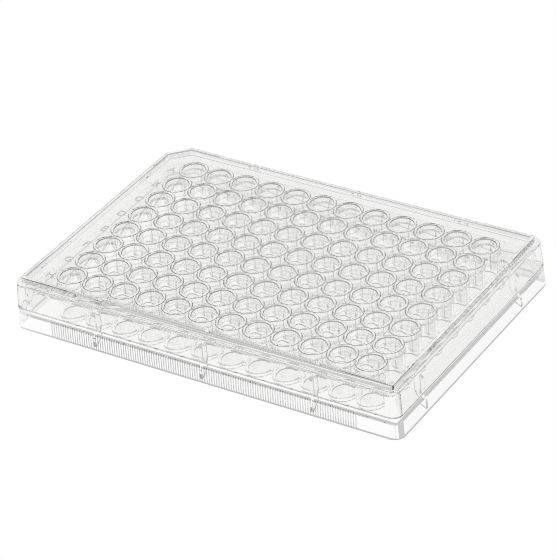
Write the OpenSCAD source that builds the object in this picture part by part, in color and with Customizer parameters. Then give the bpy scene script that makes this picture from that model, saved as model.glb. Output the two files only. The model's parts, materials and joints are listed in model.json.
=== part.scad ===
// Well plate with its lid, in clear polystyrene.
// Millimetres, +Z up. The origin is the middle of the underside, on the surface that the plate stands on.
// Columns of wells run along X and rows along Y. The first well is at -X and +Y, at the cut corner.

/* [Footprint] */
// Distance from the centres of the outer columns of wells to the short edges of the base
edge_x = 14.38; // [13.5:0.01:18]
// Distance from the centres of the outer rows of wells to the long edges of the base
edge_y = 11.24; // [10.9:0.01:15]
// Height of the plate without its lid
plate_h = 14.35; // [13.5:0.05:24]
// Radius of the base's corners
base_r = 3.18; // [2.5:0.01:6]
// How far the skirt and the upper wall each lean in over their height
plate_draft = 0.3; // [0.1:0.05:0.4]
// Radius of the inner corners of the skirt
skirt_r = 0.5; // [0.2:0.05:2]

/* [Wells] */
// Number of columns of wells
well_columns = 12; // [6:2:12]
// Number of rows of wells
well_rows = 8; // [6:2:8]
// Distance between the centres of neighbouring wells
well_pitch = 9; // [8.9:0.01:12]
// Bore of a well at its rim
well_top_d = 7; // [5:0.05:7.2]
// Bore of a well at its floor
well_floor_d = 6.5; // [4:0.05:6.9]
// Thickness of a well's wall at its foot
well_wall = 0.9; // [0.6:0.05:1]
// Thickness of a well's floor
well_floor = 1.2; // [0.6:0.05:2]
// Height of the wells' underside over the surface that the plate stands on
well_lift = 1.9; // [0.5:0.05:3]
// Thickness of a well's wall at its rim, where neighbouring wells grow together
rim_wall = 1.03; // [0.8:0.01:1.1]
// How far the rims end below the top of the plate
rim_drop = 0.1; // [0:0.05:0.5]
// Bevel of a well's rim and of the edge of its floor
well_bevel = 0.15; // [0.05:0.05:0.3]
// Radius of the rounding under a well
foot_r = 0.5; // [0.2:0.05:0.8]
// Thickness of the bars that join neighbouring wells
join_t = 0.7; // [0.6:0.05:1.5]
// How far those bars end below the rims
join_drop = 0.3; // [0.2:0.05:1]

/* [Deck and walls] */
// Depth of the deck below the top of the plate
deck_drop = 2.1; // [1.2:0.05:3]
// Thickness of the deck
deck_t = 0.8; // [0.6:0.05:1.5]
// Height of the ledge over the surface that the plate stands on
ledge_h = 5.4; // [3:0.05:6]
// Width of the ledge, from the edge of the skirt to the upper wall
ledge_w = 2.3; // [2:0.05:2.6]
// Thickness of the skirt and of the ledge
skirt_t = 1.2; // [0.8:0.05:1.5]
// Thickness of the upper wall
wall_t = 1.3; // [0.9:0.05:1.6]
// Radius of the upper wall's corners
wall_r = 1.5; // [0.5:0.05:3]
// Length that the upper wall's cut corner takes off each side
wall_cut = 5.5; // [3:0.05:7]

/* [Webs and ribs] */
// Thickness of the webs that join the skirt, the ledge and the upper wall
web_t = 1; // [0.6:0.05:1.4]
// Reach of a web inside the upper wall
web_reach = 1.7; // [0.5:0.05:2]
// Height of the webs' lower edge at the skirt
web_skirt_h = 0.5; // [0.2:0.05:1]
// Height of the webs' lower edge under the upper wall
web_wall_h = 1.6; // [1:0.05:2.5]
// Number of wells from one web to the next on the long sides
web_step_x = 4; // [2:1:5]
// Number of wells from the middle of a short side to its webs
web_step_y = 3; // [1:1:3]
// Height over the ledge of the ribs that centre the lid
rib_h = 6.2; // [2.5:0.1:6.5]

/* [Grip] */
// Distance between neighbouring grip ribs on the long sides
grip_pitch = 0.8; // [0.7:0.05:3]
// Depth of the grooves between the grip ribs
grip_depth = 0.2; // [0.05:0.01:0.4]
// Width of a groove at the face of the skirt
grip_mouth = 0.4; // [0.3:0.05:0.5]
// Width of a groove's floor
grip_floor = 0.24; // [0.1:0.01:0.25]
// Length left smooth at each end of a long side
grip_end = 12.9; // [6:0.1:40]
// Height left smooth under the grip
grip_band = 0.35; // [0.1:0.05:2]

/* [Lid] */
// Height of the lid's edge over the surface that the plate stands on
lid_edge_h = 6.65; // [6.3:0.05:9]
// How far the lid's edge stays inside the edge of the base
lid_inset = 0.31; // [0.1:0.01:0.4]
// How far the lid's side leans in over its height
lid_draft = 0.5; // [0.1:0.05:0.55]
// Thickness of the lid's side
lid_wall = 1.1; // [0.8:0.05:1.2]
// Thickness of the lid's panel
panel_t = 1; // [0.6:0.05:1.5]
// Radius of the lid's outer corners
lid_r = 3; // [2:0.05:4]
// Gap between the lid and what it seats on
seat_gap = 0.05; // [0.02:0.01:0.2]
// Gap between the lid and the ribs and lip that centre it
lid_gap = 0.2; // [0.1:0.01:0.3]
// Height of the lid's shoulder over the top of the plate
shoulder_h = 0.2; // [0.1:0.05:0.5]
// Distance from the lid's edge in to the stacking ridge
ridge_inset = 2.22; // [2:0.01:2.4]
// Height of the stacking ridge over the panel
ridge_h = 0.62; // [0.3:0.01:2]
// Width of the stacking ridge's top
ridge_w = 0.95; // [0.5:0.05:1.5]
// Width of the stacking ridge's sloping inner flank
ridge_flank = 0.2; // [0.1:0.05:1]
// Extra height of the stacking ridge at the corners
corner_step = 0.2; // [0.05:0.05:0.5]
// Width of the strip along the foot of the stacking ridge
strip_w = 1; // [0.3:0.05:2]
// Height of the strip along the foot of the stacking ridge
strip_h = 0.3; // [0.1:0.05:0.6]

/* [Hidden] */
$fn = 48;
past = 1;
slab = 0.01;

// the field of wells, from centre to centre, and the base round it
field_l = (well_columns - 1) * well_pitch;
field_w = (well_rows - 1) * well_pitch;
plate_l = field_l + 2 * edge_x;
plate_w = field_w + 2 * edge_y;

// heights
deck_top = plate_h - deck_drop;
deck_under = deck_top - deck_t;
rim_top = plate_h - rim_drop;
floor_top = well_lift + well_floor;
panel_under = plate_h + seat_gap;
panel_top = panel_under + panel_t;
shoulder_top = plate_h + shoulder_h;
shoulder_under = shoulder_top - lid_wall;
ridge_top = panel_top + ridge_h;

// how far inside the edge of the base each outline lies
wall_in = plate_draft + ledge_w;
lip_in = wall_in + plate_draft;
cavity_in = wall_in + wall_t;
lid_top_in = lid_inset + lid_draft;
lid_bore_in = lid_inset + lid_wall;
ridge_in = lid_inset + ridge_inset;
basin_in = ridge_in + ridge_w;

// radii of the wells
rim_r = well_top_d / 2 + rim_wall;
tube_r = well_floor_d / 2 + well_wall;

// where the webs stand
web_xs = [for (i = [-floor((well_columns / 2 - 1) / web_step_x) : floor((well_columns / 2 - 1) / web_step_x)])
    i * web_step_x * well_pitch];
web_ys = [-web_step_y * well_pitch, web_step_y * well_pitch];

// breaks in the stacking ridge and its strip, as whole steps of the wells
corner_x = (well_columns / 2 - 1) * well_pitch;
corner_y = (well_rows / 2 - 1) * well_pitch;
strip_x = corner_x - well_pitch;
strip_y = corner_y - well_pitch;

function wells() = [
    for (c = [0 : well_columns - 1], r = [0 : well_rows - 1])
        [c * well_pitch - field_l / 2, field_w / 2 - r * well_pitch]
];

// one groove of the grip, as points from left to right
function groove(at) = let (mouth = (3 * grip_mouth - grip_floor) / 4) [
    [at - mouth, -grip_depth / 2],
    [at - grip_floor / 2, grip_depth],
    [at + grip_floor / 2, grip_depth],
    [at + mouth, -grip_depth / 2]
];

// the length that a corner cut takes off each side, on an outline this far inside the base
function cut_at(inside) = wall_cut + (lip_in - inside) * (2 - sqrt(2));

// Outline of the base's rectangle moved in, with round corners and one corner cut off
module outline(inside, r, cut) {
    l = plate_l - 2 * inside;
    w = plate_w - 2 * inside;
    difference() {
        union() {
            square([l, w - 2 * r], center = true);
            square([l - 2 * r, w], center = true);
            for (x = [-1, 1], y = [-1, 1])
                translate([x * (l / 2 - r), y * (w / 2 - r)]) circle(r);
        }
        if (cut > 0)
            translate([-l / 2, w / 2]) rotate(45) square(cut * sqrt(2), center = true);
    }
}

// Solid between two heights whose sides move in by lean on the way up
module drafted(z0, z1, inside, lean, r, cut = false) {
    hull() {
        translate([0, 0, z0]) linear_extrude(slab)
            outline(inside, r, cut ? cut_at(inside) : 0);
        translate([0, 0, z1 - slab]) linear_extrude(slab)
            outline(inside + lean, r, cut ? cut_at(inside + lean) : 0);
    }
}

// Skirt, ledge, upper wall and deck, open between the wells
module shell() {
    under_z = ledge_h - skirt_t;
    difference() {
        union() {
            drafted(0, ledge_h, 0, plate_draft, base_r);
            drafted(ledge_h - skirt_t / 2, plate_h, wall_in, plate_draft, wall_r, true);
        }
        drafted(-past, under_z, skirt_t, plate_draft, skirt_r);
        drafted(-past, deck_under, cavity_in, plate_draft, wall_r, true);
        translate([0, 0, deck_top]) linear_extrude(plate_h)
            outline(lip_in + wall_t, wall_r, cut_at(lip_in + wall_t));
        translate([0, 0, deck_under - past]) linear_extrude(plate_h)
            square([field_l, field_w], center = true);
    }
}

// Bars along the rows and columns, which join neighbouring wells
module joins() {
    low = deck_under + deck_t / 2;
    high = rim_top - join_drop;
    translate([0, 0, low]) linear_extrude(high - low) union() {
        for (c = [0 : well_columns - 1])
            translate([c * well_pitch - field_l / 2, 0]) square([join_t, field_w], center = true);
        for (r = [0 : well_rows - 1])
            translate([0, field_w / 2 - r * well_pitch]) square([field_l, join_t], center = true);
    }
}

// Outside of a well
module well_body() {
    rotate_extrude() polygon([
        [0, well_lift],
        for (a = [0 : 30 : 90]) [tube_r - foot_r * (1 - sin(a)), well_lift + foot_r * (1 - cos(a))],
        [rim_r, rim_top - well_bevel],
        [rim_r - well_bevel, rim_top],
        [0, rim_top]
    ]);
}

// Inside of a well, a little past its rim
module well_bore() {
    rotate_extrude() polygon([
        [0, floor_top],
        [well_floor_d / 2 - well_bevel, floor_top],
        [well_floor_d / 2, floor_top + well_bevel],
        [well_top_d / 2, rim_top - well_bevel],
        [well_top_d / 2 + well_bevel, rim_top],
        [well_top_d / 2 + well_bevel, rim_top + past],
        [0, rim_top + past]
    ]);
}

// Web and centring rib of one side, drawn from the middle out to an edge of the base at half
module web(half) {
    in_skirt = half - plate_draft - skirt_t / 2;
    in_wall = half - wall_in - wall_t / 2;
    reach = half - cavity_in - web_reach;
    rib_top = ledge_h + rib_h;
    lean = lid_draft / (shoulder_top - lid_edge_h);
    rib_x = half - lid_bore_in - lid_gap;
    rotate([90, 0, 0]) translate([0, 0, -web_t / 2]) linear_extrude(web_t) union() {
        polygon([
            [in_skirt, web_skirt_h],
            [half - cavity_in + web_t, web_wall_h],
            [half - cavity_in, web_wall_h + web_t],
            [reach, ledge_h + skirt_t / 2],
            [reach, deck_under + deck_t / 2],
            [in_wall, deck_under + deck_t / 2],
            [in_wall, ledge_h - skirt_t / 2],
            [in_skirt, ledge_h - skirt_t / 2]
        ]);
        polygon([
            [in_wall, ledge_h - skirt_t / 2],
            [rib_x, ledge_h - skirt_t / 2],
            [rib_x, lid_edge_h],
            [rib_x - lean * (rib_top - web_t - lid_edge_h), rib_top - web_t],
            [half - lip_in, rib_top],
            [in_wall, rib_top]
        ]);
    }
}

module webs() {
    for (x = web_xs, side = [-1, 1])
        translate([x, 0, 0]) rotate(side * 90) web(plate_w / 2);
    for (y = web_ys, side = [0, 180])
        translate([0, y, 0]) rotate(side) web(plate_l / 2);
}

// Grooves of the grip on the long side at -Y, leaning in with the skirt
module grip() {
    count = floor((plate_l - 2 * grip_end) / grip_pitch);
    start = -count * grip_pitch / 2;
    end = count * grip_pitch / 2;
    teeth = [for (i = [0 : count - 1]) each groove(start + (i + 1 / 2) * grip_pitch)];
    translate([0, -plate_w / 2, 0]) rotate([-atan(plate_draft / ledge_h), 0, 0])
        translate([0, 0, grip_band]) linear_extrude(ledge_h)
            polygon(concat([[start, -past]], teeth, [[end, -past]]));
}

module plate() {
    color("ghostwhite", 0.6) difference() {
        union() {
            shell();
            for (at = wells()) translate(at) well_body();
            joins();
            webs();
        }
        for (at = wells()) translate(at) well_bore();
        grip();
        rotate(180) grip();
    }
}

module lid() {
    ridge_low = shoulder_top - lid_wall / 2;
    ridge_max = ridge_top + corner_step;
    color("white", 0.4) union() {
        difference() {
            union() {
                drafted(lid_edge_h, shoulder_top, lid_inset, lid_draft, lid_r, true);
                translate([0, 0, ridge_low]) linear_extrude(ridge_max - ridge_low)
                    outline(ridge_in, wall_r / 2, cut_at(ridge_in));
            }
            drafted(lid_edge_h - past, shoulder_under, lid_bore_in, lid_draft, lid_r - lid_wall, true);
            translate([0, 0, shoulder_under - past]) linear_extrude(panel_under - shoulder_under + past)
                outline(lip_in - lid_gap, wall_r, cut_at(lip_in - lid_gap));
            basin(ridge_max);
            for (size = [[2 * corner_x, plate_w], [plate_l, 2 * corner_y]])
                translate([-size[0] / 2, -size[1] / 2, ridge_top]) cube([size[0], size[1], past]);
        }
        strips();
    }
}

// Hollow inside the stacking ridge, over the panel
module basin(top) {
    hull() {
        translate([0, 0, panel_top]) linear_extrude(slab)
            outline(basin_in + ridge_flank, wall_r / 2, cut_at(basin_in + ridge_flank));
        translate([0, 0, top]) linear_extrude(past)
            outline(basin_in, wall_r / 2, cut_at(basin_in));
    }
}

// Strips along the foot of the stacking ridge
module strips() {
    sunk = ridge_flank / 2;
    for (side = [0, 180]) {
        rotate(side) strip(plate_w / 2 - basin_in - ridge_flank, strip_x, sunk);
        rotate(side + 90) strip(plate_l / 2 - basin_in - ridge_flank, strip_y, sunk);
    }
}

// One strip, with its outer side sunk into the ridge's foot at a distance out along -Y
module strip(out, half_l, sunk) {
    translate([-half_l, -out - sunk, panel_top - panel_t / 2])
        cube([2 * half_l, strip_w + sunk, panel_t / 2 + strip_h]);
}

plate();
lid();
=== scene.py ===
# Clear well plate with its loose lid: finish, raised lettering, light and camera.
import json
import math

import bmesh
import bpy
from mathutils import Matrix, Vector

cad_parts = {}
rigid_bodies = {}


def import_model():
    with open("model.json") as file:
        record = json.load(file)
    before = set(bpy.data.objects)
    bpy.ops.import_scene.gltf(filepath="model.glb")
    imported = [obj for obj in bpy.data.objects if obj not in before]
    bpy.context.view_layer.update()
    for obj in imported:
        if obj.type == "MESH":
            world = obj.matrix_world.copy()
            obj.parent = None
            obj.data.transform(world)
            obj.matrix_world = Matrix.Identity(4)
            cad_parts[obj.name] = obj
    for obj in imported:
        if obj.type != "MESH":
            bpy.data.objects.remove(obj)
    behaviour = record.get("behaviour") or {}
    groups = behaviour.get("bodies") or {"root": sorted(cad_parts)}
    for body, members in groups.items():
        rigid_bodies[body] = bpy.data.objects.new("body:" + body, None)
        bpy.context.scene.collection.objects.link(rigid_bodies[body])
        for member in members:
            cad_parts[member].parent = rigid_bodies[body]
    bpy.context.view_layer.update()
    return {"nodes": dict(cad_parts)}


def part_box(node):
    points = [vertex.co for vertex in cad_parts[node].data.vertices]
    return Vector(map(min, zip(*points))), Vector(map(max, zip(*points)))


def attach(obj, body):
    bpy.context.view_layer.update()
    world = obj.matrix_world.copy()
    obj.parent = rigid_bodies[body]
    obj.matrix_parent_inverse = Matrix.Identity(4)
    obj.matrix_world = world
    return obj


for stray in list(bpy.data.objects):
    bpy.data.objects.remove(stray)
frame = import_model()
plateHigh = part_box("plate")[1]
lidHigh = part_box("lid")[1]
scene = bpy.context.scene
mm = 0.001
print("frame loaded")

cameraSetup = {
    "heading": 35.18,  # degrees, from straight along +Y towards -X
    "down": 33.27,  # degrees below the horizon
    "roll": -5.62,  # degrees
    "place": (0.4042, -0.5742, 0.4690),
    "lens": 190.75,  # on a sensor 36 mm wide
    "sensor": 36.0,
    "nearest": 0.01,
}


def addCamera(setup):
    heading = math.radians(setup["heading"])
    down = math.radians(setup["down"])
    roll = math.radians(setup["roll"])
    ahead = Vector((-math.sin(heading) * math.cos(down),
                    math.cos(heading) * math.cos(down), -math.sin(down)))
    level = ahead.cross(Vector((0, 0, 1))).normalized()
    above = level.cross(ahead)
    right = level * math.cos(roll) + above * math.sin(roll)
    up = above * math.cos(roll) - level * math.sin(roll)
    data = bpy.data.cameras.new("camera")
    data.lens = setup["lens"]
    data.sensor_width = setup["sensor"]
    data.sensor_fit = "HORIZONTAL"
    data.clip_start = setup["nearest"]
    camera = bpy.data.objects.new("camera", data)
    scene.collection.objects.link(camera)
    turn = Matrix((right, up, -ahead)).transposed().to_4x4()
    camera.matrix_world = Matrix.Translation(setup["place"]) @ turn
    scene.camera = camera


addCamera(cameraSetup)
print("camera set")

# The floor is brightest under the plate and dimmer in front of it, and the sky has dimmer bands,
# so every edge draws a line.
studio = {
    "floorRadius": 3.0,
    "floorSides": 96,
    "floorRough": 0.9,
    "floorSeen": 1.0,  # how bright the paper looks to the camera
    "floorUnder": 1.03,  # how bright the plastic sees it under the plate
    "floorNear": 0.65,  # in front of the plate
    "floorFar": 0.95,  # and behind it
    "floorTurn": 0.01,  # half the width of the change from front to back, in metres
    "underInset": 0.0013,  # how far inside the edge of the plate the lit floor ends
    "underEdge": 0.0002,  # half the width of the change there
    # brightness of the sky at each height, as the sine of its elevation
    "sky": [(0.0, 0.4), (0.33, 0.4), (0.43, 0.7), (0.66, 0.7), (0.8, 0.35), (1.0, 0.4)],
    "bounces": 160,
    "clearBounces": 16,
    "gamma": 0.82,
    "sharpness": 0.9,  # width of the render's filter
}
farTurn = math.radians(cameraSetup["heading"])
farSide = (-math.sin(farTurn), math.cos(farTurn), 0)


def mapped(nodes, links, value, fromRange, toRange):
    node = nodes.new("ShaderNodeMapRange")
    node.interpolation_type = "SMOOTHSTEP"
    node.inputs["From Min"].default_value = fromRange[0]
    node.inputs["From Max"].default_value = fromRange[1]
    node.inputs["To Min"].default_value = toRange[0]
    node.inputs["To Max"].default_value = toRange[1]
    links.new(value, node.inputs["Value"])
    return node.outputs["Result"]


def towards(nodes, links, vector, way):
    node = nodes.new("ShaderNodeVectorMath")
    node.operation = "DOT_PRODUCT"
    node.inputs[1].default_value = way
    links.new(vector, node.inputs[0])
    return node.outputs["Value"]


def separated(nodes, links, vector):
    node = nodes.new("ShaderNodeSeparateXYZ")
    links.new(vector, node.inputs[0])
    return node.outputs


def computed(nodes, links, operation, *values):
    node = nodes.new("ShaderNodeMath")
    node.operation = operation
    for socket, value in zip(node.inputs, values):
        if isinstance(value, (int, float)):
            socket.default_value = value
        else:
            links.new(value, socket)
    return node.outputs[0]


def makeSky(setup):
    world = bpy.data.worlds.new("studio")
    world.use_nodes = True
    nodes = world.node_tree.nodes
    links = world.node_tree.links
    nodes.clear()
    way = nodes.new("ShaderNodeTexCoord").outputs["Generated"]
    ramp = nodes.new("ShaderNodeValToRGB")
    glow = nodes.new("ShaderNodeBackground")
    out = nodes.new("ShaderNodeOutputWorld")
    stops = ramp.color_ramp.elements
    while len(stops) < len(setup["sky"]):
        stops.new(1.0)
    for stop, (height, bright) in zip(stops, setup["sky"]):
        stop.position = height
        stop.color = (bright, bright, bright, 1)
    links.new(separated(nodes, links, way)["Z"], ramp.inputs[0])
    links.new(ramp.outputs[0], glow.inputs["Color"])
    links.new(glow.outputs[0], out.inputs[0])
    scene.world = world


def makeFloor(setup):
    mesh = bpy.data.meshes.new("floor")
    sides = setup["floorSides"]
    corners = [(setup["floorRadius"] * math.cos(math.tau * i / sides),
                setup["floorRadius"] * math.sin(math.tau * i / sides), 0) for i in range(sides)]
    mesh.from_pydata(corners, [], [tuple(range(sides))])
    floor = bpy.data.objects.new("floor", mesh)
    scene.collection.objects.link(floor)
    paper = bpy.data.materials.new("floorPaper")
    paper.use_nodes = True
    nodes = paper.node_tree.nodes
    links = paper.node_tree.links
    shader = nodes["Principled BSDF"]
    shader.inputs["Base Color"].default_value = (0, 0, 0, 1)
    shader.inputs["Roughness"].default_value = setup["floorRough"]
    shader.inputs["Specular IOR Level"].default_value = 0
    shader.inputs["Emission Color"].default_value = (1, 1, 1, 1)
    place = nodes.new("ShaderNodeTexCoord").outputs["Object"]
    depth = towards(nodes, links, place, farSide)
    around = mapped(nodes, links, depth, (-setup["floorTurn"], setup["floorTurn"]),
                    (setup["floorNear"], setup["floorFar"]))
    parts = separated(nodes, links, place)
    past = []
    for axis, edge in (("X", plateHigh.x), ("Y", plateHigh.y)):
        out = computed(nodes, links, "ABSOLUTE", parts[axis])
        past.append(computed(nodes, links, "SUBTRACT", out, edge))
    inset = -setup["underInset"]
    outside = mapped(nodes, links, computed(nodes, links, "MAXIMUM", *past),
                     (inset - setup["underEdge"], inset + setup["underEdge"]), (0, 1))
    lit = nodes.new("ShaderNodeMix")
    lit.inputs["A"].default_value = setup["floorUnder"]
    links.new(outside, lit.inputs["Factor"])
    links.new(around, lit.inputs["B"])
    seen = nodes.new("ShaderNodeMix")
    seen.inputs["B"].default_value = setup["floorSeen"]
    links.new(nodes.new("ShaderNodeLightPath").outputs["Is Camera Ray"], seen.inputs["Factor"])
    links.new(lit.outputs["Result"], seen.inputs["A"])
    links.new(seen.outputs["Result"], shader.inputs["Emission Strength"])
    mesh.materials.append(paper)


makeSky(studio)
makeFloor(studio)
scene.cycles.max_bounces = studio["bounces"]
scene.cycles.transmission_bounces = studio["bounces"]
scene.cycles.glossy_bounces = studio["bounces"]
scene.cycles.transparent_max_bounces = studio["clearBounces"]
scene.cycles.use_denoising = True
scene.cycles.filter_width = studio["sharpness"]
scene.view_settings.view_transform = "Standard"
scene.view_settings.gamma = studio["gamma"]
print("light set")

# clear polystyrene
clearPlastic = {
    "tint": (0.999, 0.999, 0.996, 1),
    "index": 1.59,
    "absorb": (0.0, 0.0, 0.0, 1),
    "absorbDensity": 0.5,  # light lost inside, for each metre
    "waveScale": 120.0,  # slow waves of the moulded faces, for each metre
    "waveDepth": 0.004,  # in millimetres
    "waveDetail": 1,
    "scuffScale": 900.0,  # fine scuffs, for each metre
    "scuffDetail": 3,
    "scuffFrom": (0.62, 0.75),  # part of the noise that scuffs
    "scuffRough": 0.05,
}
# The moulded edges are rounded and look darker than the flat faces; that shade is painted into the
# plastic's colour as dark lines.
# Each line is a place, out from a well's axis or in from the outline, a height and a strength.
# Places and heights are in millimetres.
edgeLines = {
    "pitch": 9.0,
    "columns": 12,
    "rows": 8,
    "shade": (0.1, 0.105, 0.1, 1),
    "lineHalf": 0.09,
    "heightHalf": 0.3,
    "wells": [
        (3.55, 14.25, 0.95),  # bore of the rim
        (4.4, 14.25, 0.9),  # outside of the rim
        (4.6, 12.3, 0.65),  # foot of the rim on the deck
        (3.45, 12.3, 0.3),  # inside, level with the deck
        (3.2, 3.1, 0.85),  # edge of the floor
    ],
    "base": [(0.05, 0.1, 0.25), (0.32, 5.4, 0.3)],  # foot of the skirt, edge of the ledge
    "lid": [
        (0.05, 6.65, 0.2),  # lower edge
        (0.5, 14.5, 0.25),  # shoulder
        (2.22, 16.1, 0.4),  # outside of the ridge
        (3.2, 16.1, 0.65),  # inside of the ridge
    ],
    "baseRound": 3.18,
    "lidRound": 3.0,
    "lidCut": 7.02,  # what the cut corner takes off each side of the lid
    "wellStreakShade": 0.75,  # strength of the painted shade streak up the +Y side of each well
    "wellStreakShadeHalf": 0.1,
    "wellStreakShadeHeights": (3.2, 12.0),
    "wellStreakShadeFade": 1.0,  # height in which it fades in
    "groovePitch": 0.8,
    "grooveHalf": 0.13,
    "groove": 0.5,  # strength of the shade in the grooves of the grip
    "grooveEnd": 1.0,  # and at their upper ends
    "grooveEndFrom": 4.5,  # height where that starts
    "grooveEndFade": 0.2,  # height in which it darkens
    # reach along X, from this far along Y, from and to this height
    "grooveArea": (50.8, 42.2, 0.35, 5.2),
    # middle and half width of the stacking ridge, and its foot's height
    "ridge": (2.7, 0.5, 15.7),
    "ridgeRough": 0.05,
}

bandFade = 0.5  # share of a line's half width in which it fades, on both sides of its edge


def band(nodes, links, value, middle, half):
    away = computed(nodes, links, "ABSOLUTE", computed(nodes, links, "SUBTRACT", value, middle))
    return mapped(nodes, links, away, (half * (1 - bandFade), half * (1 + bandFade)), (1, 0))


def strongest(nodes, links, values):
    most = values[0]
    for value in values[1:]:
        most = computed(nodes, links, "MAXIMUM", most, value)
    return most


# distance from the axis of the nearest well, and its two sides along X and Y, in metres
def fromWell(nodes, links, parts, setup):
    pitch = setup["pitch"] * mm
    sides = []
    for axis, count in (("X", setup["columns"]), ("Y", setup["rows"])):
        last = (count - 1) / 2
        step = computed(nodes, links, "DIVIDE", parts[axis], pitch)
        middle = computed(nodes, links, "ADD", computed(nodes, links, "FLOOR", step), 0.5)
        middle = computed(nodes, links, "MAXIMUM", middle, -last)
        middle = computed(nodes, links, "MINIMUM", middle, last)
        away = computed(nodes, links, "SUBTRACT", step, middle)
        sides.append(computed(nodes, links, "MULTIPLY", away, pitch))
    squares = [computed(nodes, links, "MULTIPLY", side, side) for side in sides]
    near = computed(nodes, links, "SQRT", computed(nodes, links, "ADD", squares[0], squares[1]))
    return near, sides


# distance in from a rectangle with round corners, and one cut off, in metres
def fromOutline(nodes, links, parts, high, radius, cut):
    over = []
    for axis, half in (("X", high.x), ("Y", high.y)):
        out = computed(nodes, links, "ABSOLUTE", parts[axis])
        over.append(computed(nodes, links, "SUBTRACT", out, half - radius))
    outside = [computed(nodes, links, "MAXIMUM", value, 0) for value in over]
    squares = [computed(nodes, links, "MULTIPLY", value, value) for value in outside]
    corner = computed(nodes, links, "SQRT", computed(nodes, links, "ADD", squares[0], squares[1]))
    side = computed(nodes, links, "MAXIMUM", over[0], over[1])
    side = computed(nodes, links, "MINIMUM", side, 0)
    inside = computed(nodes, links, "SUBTRACT", radius, computed(nodes, links, "ADD", corner, side))
    if cut == 0:
        return inside
    across = computed(nodes, links, "SUBTRACT", parts["X"], parts["Y"])
    inCut = computed(nodes, links, "ADD", across, high.x + high.y - cut)
    inCut = computed(nodes, links, "MULTIPLY", inCut, math.sqrt(0.5))  # square to the cut
    return computed(nodes, links, "MINIMUM", inside, inCut)


def product(nodes, links, *values):
    result = values[0]
    for value in values[1:]:
        result = computed(nodes, links, "MULTIPLY", result, value)
    return result


# painted shade: a dark streak up the +Y side of each well, from above its floor to below the deck
def wellStreakShadeMask(nodes, links, parts, near, sides, setup):
    low, high = setup["wellStreakShadeHeights"]
    full = low + setup["wellStreakShadeFade"]
    return product(nodes, links, band(nodes, links, sides[0], 0, setup["wellStreakShadeHalf"] * mm),
                   computed(nodes, links, "GREATER_THAN", sides[1], 0),
                   computed(nodes, links, "LESS_THAN", near, setup["pitch"] / 2 * mm),
                   mapped(nodes, links, parts["Z"], (low * mm, full * mm), (0, 1)),
                   computed(nodes, links, "LESS_THAN", parts["Z"], high * mm), setup["wellStreakShade"])


# painted shade in the grooves of the grip, darkest at their upper ends
def grooveMask(nodes, links, parts, setup):
    reachX, fromY, low, high = setup["grooveArea"]
    across = computed(nodes, links, "PINGPONG", parts["X"], setup["groovePitch"] / 2 * mm)
    alongX = computed(nodes, links, "ABSOLUTE", parts["X"])
    alongY = computed(nodes, links, "ABSOLUTE", parts["Y"])
    endFrom = setup["grooveEndFrom"]
    endFull = endFrom + setup["grooveEndFade"]
    shade = mapped(nodes, links, parts["Z"], (endFrom * mm, endFull * mm),
                   (setup["groove"], setup["grooveEnd"]))
    return product(nodes, links, band(nodes, links, across, 0, setup["grooveHalf"] * mm),
                   computed(nodes, links, "LESS_THAN", alongX, reachX * mm),
                   computed(nodes, links, "GREATER_THAN", alongY, fromY * mm),
                   computed(nodes, links, "GREATER_THAN", parts["Z"], low * mm),
                   computed(nodes, links, "LESS_THAN", parts["Z"], high * mm), shade)


def lineMasks(nodes, links, parts, across, setup, lines):
    masks = []
    for place, height, strength in lines:
        near = band(nodes, links, across, place * mm, setup["lineHalf"] * mm)
        level = band(nodes, links, parts["Z"], height * mm, setup["heightHalf"] * mm)
        masks.append(product(nodes, links, near, level, strength))
    return masks


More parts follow.
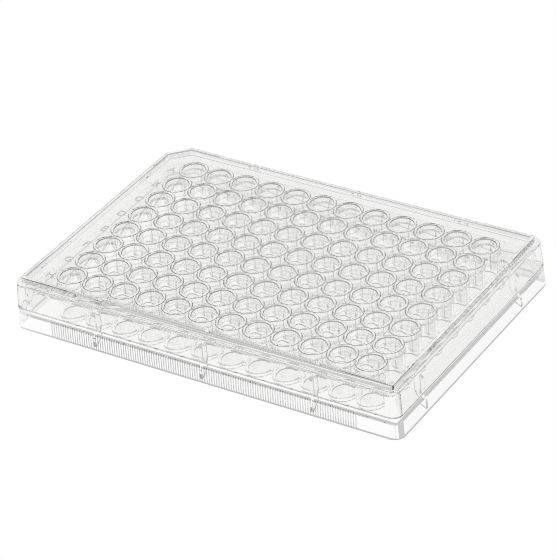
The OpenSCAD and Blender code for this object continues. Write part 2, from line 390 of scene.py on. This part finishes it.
def makeClear(name, setup, lines, piece):
    material = bpy.data.materials.new(name)
    material.use_nodes = True
    nodes = material.node_tree.nodes
    links = material.node_tree.links
    shader = nodes["Principled BSDF"]
    shader.inputs["Transmission Weight"].default_value = 1
    shader.inputs["IOR"].default_value = setup["index"]
    place = nodes.new("ShaderNodeTexCoord").outputs["Object"]
    wave = nodes.new("ShaderNodeTexNoise")
    wave.inputs["Scale"].default_value = setup["waveScale"]
    wave.inputs["Detail"].default_value = setup["waveDetail"]
    bump = nodes.new("ShaderNodeBump")
    bump.inputs["Distance"].default_value = setup["waveDepth"] * mm
    links.new(place, wave.inputs["Vector"])
    links.new(wave.outputs["Fac"], bump.inputs["Height"])
    links.new(bump.outputs["Normal"], shader.inputs["Normal"])
    scuff = nodes.new("ShaderNodeTexNoise")
    scuff.inputs["Scale"].default_value = setup["scuffScale"]
    scuff.inputs["Detail"].default_value = setup["scuffDetail"]
    links.new(place, scuff.inputs["Vector"])
    rough = mapped(nodes, links, scuff.outputs["Fac"], setup["scuffFrom"], (0, setup["scuffRough"]))
    parts = separated(nodes, links, place)
    masks = []
    if piece == "plate":
        near, sides = fromWell(nodes, links, parts, lines)
        masks += lineMasks(nodes, links, parts, near, lines, lines["wells"])
        masks.append(wellStreakShadeMask(nodes, links, parts, near, sides, lines))
        masks.append(grooveMask(nodes, links, parts, lines))
        across = fromOutline(nodes, links, parts, plateHigh, lines["baseRound"] * mm, 0)
        masks += lineMasks(nodes, links, parts, across, lines, lines["base"])
    elif piece == "lid":
        across = fromOutline(nodes, links, parts, lidHigh, lines["lidRound"] * mm,
                             lines["lidCut"] * mm)
        masks += lineMasks(nodes, links, parts, across, lines, lines["lid"])
        middle, half, foot = lines["ridge"]
        onRidge = product(nodes, links, band(nodes, links, across, middle * mm, half * mm),
                          computed(nodes, links, "GREATER_THAN", parts["Z"], foot * mm),
                          lines["ridgeRough"])
        rough = computed(nodes, links, "MAXIMUM", rough, onRidge)
    links.new(rough, shader.inputs["Roughness"])
    shader.inputs["Base Color"].default_value = setup["tint"]
    # painted shade: the masks darken the plastic's colour in lines along its edges, and on the
    # plate also up each well and in the grip's grooves
    if masks:
        colour = nodes.new("ShaderNodeMix")
        colour.data_type = "RGBA"
        colour.inputs[6].default_value = setup["tint"]
        colour.inputs[7].default_value = lines["shade"]
        links.new(strongest(nodes, links, masks), colour.inputs[0])
        links.new(colour.outputs[2], shader.inputs["Base Color"])
    inside = nodes.new("ShaderNodeVolumeAbsorption")
    inside.inputs["Color"].default_value = setup["absorb"]
    inside.inputs["Density"].default_value = setup["absorbDensity"]
    links.new(inside.outputs[0], nodes["Material Output"].inputs["Volume"])
    return material


for node in ("plate", "lid"):
    piece = frame["nodes"][node]
    piece.data.materials.clear()
    piece.data.materials.append(makeClear(node + "Clear", clearPlastic, edgeLines, node))
print("materials set")

# raised letters and numbers on the deck, in millimetres
labels = {
    "deckZ": 12.25,
    "raised": 0.15,
    "sunk": 0.04,
    "lettersX": -57.4,
    "letterHeight": 2.6,
    "numbersY": 37.25,
    "numberHeight": 1.9,
    "capShare": 0.7,  # height of a capital in a font of size one
    "curveSteps": 3,
    "joinWithin": 0.001,  # points nearer than this become one
    "tint": (0.72, 0.73, 0.71, 1),
}


# a raised word as a mesh, centred on a place on the deck
def wordMesh(word, centre, height, setup):
    curve = bpy.data.curves.new("word", "FONT")
    curve.body = word
    curve.size = height / setup["capShare"] * mm
    curve.extrude = (setup["raised"] + setup["sunk"]) / 2 * mm
    curve.resolution_u = setup["curveSteps"]
    curve.align_x = "CENTER"
    holder = bpy.data.objects.new("word", curve)
    scene.collection.objects.link(holder)
    bpy.context.view_layer.update()
    flat = holder.evaluated_get(bpy.context.evaluated_depsgraph_get())
    mesh = bpy.data.meshes.new_from_object(flat)
    bpy.data.objects.remove(holder)
    middle = setup["deckZ"] + (setup["raised"] - setup["sunk"]) / 2
    place = Vector((centre[0], centre[1] - height / 2, middle)) * mm
    mesh.transform(Matrix.Translation(place))
    return mesh


def addLabels(name, words, height, setup, material):
    shape = bmesh.new()
    for word, centre in words:
        mesh = wordMesh(word, centre, height, setup)
        shape.from_mesh(mesh)
        bpy.data.meshes.remove(mesh)
    bmesh.ops.remove_doubles(shape, verts=shape.verts, dist=setup["joinWithin"] * mm)
    bmesh.ops.recalc_face_normals(shape, faces=shape.faces)
    joined = bpy.data.meshes.new(name)
    shape.to_mesh(joined)
    shape.free()
    joined.materials.append(material)
    piece = bpy.data.objects.new(name, joined)
    scene.collection.objects.link(piece)
    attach(piece, "root")


rows = edgeLines["rows"]
columns = edgeLines["columns"]
letters = []
for row in range(rows):
    y = ((rows - 1) / 2 - row) * edgeLines["pitch"]
    letters.append((chr(ord("A") + row), (labels["lettersX"], y)))
numbers = []
for column in range(columns):
    x = (column - (columns - 1) / 2) * edgeLines["pitch"]
    numbers.append((str(column + 1), (x, labels["numbersY"])))
labelPlastic = {**clearPlastic, "tint": labels["tint"]}
labelMaterial = makeClear("labelClear", labelPlastic, edgeLines, "labels")
addLabels("rowLetters", letters, labels["letterHeight"], labels, labelMaterial)
addLabels("columnNumbers", numbers, labels["numberHeight"], labels, labelMaterial)
print("labels made")
